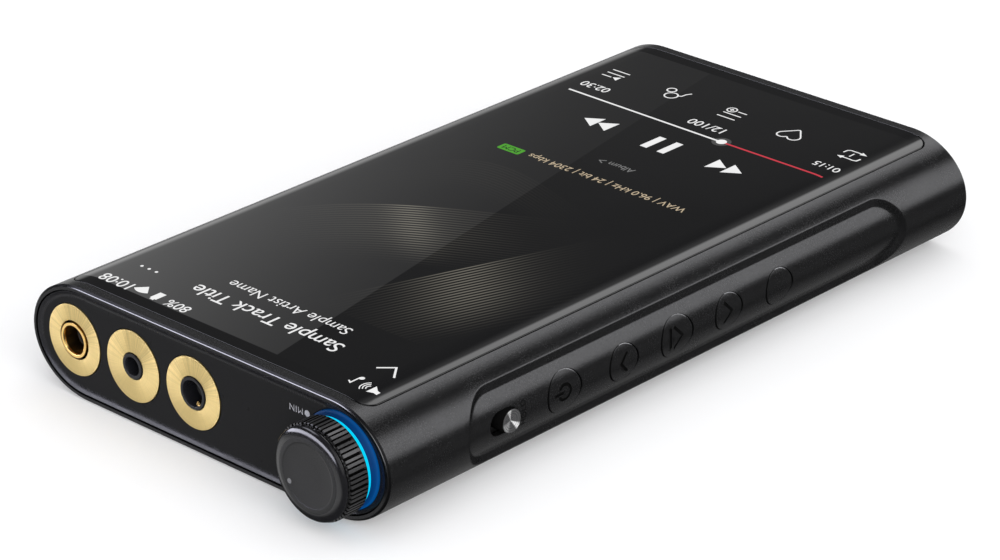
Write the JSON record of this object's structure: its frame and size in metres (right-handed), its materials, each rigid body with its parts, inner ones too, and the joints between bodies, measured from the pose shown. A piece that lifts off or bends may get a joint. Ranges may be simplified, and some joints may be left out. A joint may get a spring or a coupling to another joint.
{
  "type": "digital audio player",
  "caption": "Pocket digital audio player with a curved glass touch screen, headphone sockets and a knurled volume knob on one end, and a recessed row of keys along one flank.",
  "frame": {"origin": "middle of the flat back that the player lies on", "axes": "+Z out of the screen, -Y towards the end with the headphone sockets and the knob, +X towards the flank with the keys"},
  "size_m": [0.0754, 0.1372, 0.0185],
  "materials": {
    "anodised_shell": "bead-blasted black anodised",
    "panel_glass": "polished black, edges curved",
    "end_cap_gloss": "satin gloss",
    "brushed_gold": "radially brushed and plated",
    "gold_plate": "polished plating",
    "socket_black": "moulded",
    "knob_black": "anodised, knurled and turned",
    "light_acrylic": "translucent light guide",
    "bright_steel": "machined",
    "shield_tin": "stamped tin plate",
    "circuit_board": "solder mask",
    "battery_wrap": "foil wrap",
    "screen_stack": "laminated"
  },
  "bodies": {
    "player": {"body_shell": "anodised_shell", "front_glass": "panel_glass", "back_cover": "panel_glass", "jack_end_cap": "end_cap_gloss", "port_end_cap": "end_cap_gloss", "jack_44_disc": "brushed_gold", "jack_25_disc": "brushed_gold", "jack_35_disc": "brushed_gold", "jack_44_barrel": "gold_plate", "jack_44_contact": "gold_plate", "jack_25_contact": "gold_plate", "jack_35_contact": "gold_plate", "antenna_strip": "gold_plate", "jack_25_barrel": "socket_black", "jack_35_barrel": "socket_black", "jack_44_housing": "socket_black", "jack_25_housing": "socket_black", "jack_35_housing": "socket_black", "pot_body": "socket_black", "hold_switch": "socket_black", "power_switch": "socket_black", "previous_switch": "socket_black", "play_switch": "socket_black", "next_switch": "socket_black", "function_switch": "socket_black", "light_ring": "light_acrylic", "pot_bushing": "bright_steel", "pot_nut": "bright_steel", "usb_port": "bright_steel", "board_screw_1": "bright_steel", "board_screw_2": "bright_steel", "board_screw_3": "bright_steel", "board_screw_4": "bright_steel", "backlight_unit": "shield_tin", "mid_frame": "shield_tin", "dac_shield": "shield_tin", "amp_shield": "shield_tin", "cpu_shield": "shield_tin", "card_socket": "shield_tin", "led_ring_board": "circuit_board", "key_board": "circuit_board", "jack_board": "circuit_board", "main_board": "circuit_board", "port_board": "circuit_board", "battery": "battery_wrap", "lcd_panel": "screen_stack"},
    "volume_knob": {"knob_grip": "knob_black", "knob_face": "knob_black", "knob_shaft": "bright_steel"},
    "hold": {"hold_slider": "bright_steel", "hold_carrier": "socket_black"},
    "card_tray": {"card_tray": "anodised_shell"},
    "power_key": {"power_key": "anodised_shell"},
    "previous_key": {"previous_key": "anodised_shell"},
    "play_key": {"play_key": "anodised_shell"},
    "next_key": {"next_key": "anodised_shell"},
    "function_key": {"function_key": "anodised_shell"}
  },
  "joints": [
    {"name": "volume_turn", "type": "hinge", "parent": "player", "child": "volume_knob", "pos_m": [0.02785, -0.068, 0.00925], "axis": [0, 1, 0], "range_deg": [-298, 0]},
    {"name": "hold_slide", "type": "slide", "parent": "player", "child": "hold", "axis": [0, -1, 0], "range_m": [0, 0.0017]},
    {"name": "card_tray_slide", "type": "slide", "parent": "player", "child": "card_tray", "axis": [0, 1, 0], "range_m": [0, 0.016]},
    {"name": "power_press", "type": "slide", "parent": "player", "child": "power_key", "axis": [-1, 0, 0], "range_m": [0, 0.0004], "stiffness_N_per_m": 2500, "springref_m": -0.0002},
    {"name": "previous_press", "type": "slide", "parent": "player", "child": "previous_key", "axis": [-1, 0, 0], "range_m": [0, 0.0004], "stiffness_N_per_m": 2500, "springref_m": -0.0002},
    {"name": "play_press", "type": "slide", "parent": "player", "child": "play_key", "axis": [-1, 0, 0], "range_m": [0, 0.0004], "stiffness_N_per_m": 2500, "springref_m": -0.0002},
    {"name": "next_press", "type": "slide", "parent": "player", "child": "next_key", "axis": [-1, 0, 0], "range_m": [0, 0.0004], "stiffness_N_per_m": 2500, "springref_m": -0.0002},
    {"name": "function_press", "type": "slide", "parent": "player", "child": "function_key", "axis": [-1, 0, 0], "range_m": [0, 0.0004], "stiffness_N_per_m": 2500, "springref_m": -0.0002}
  ]
}
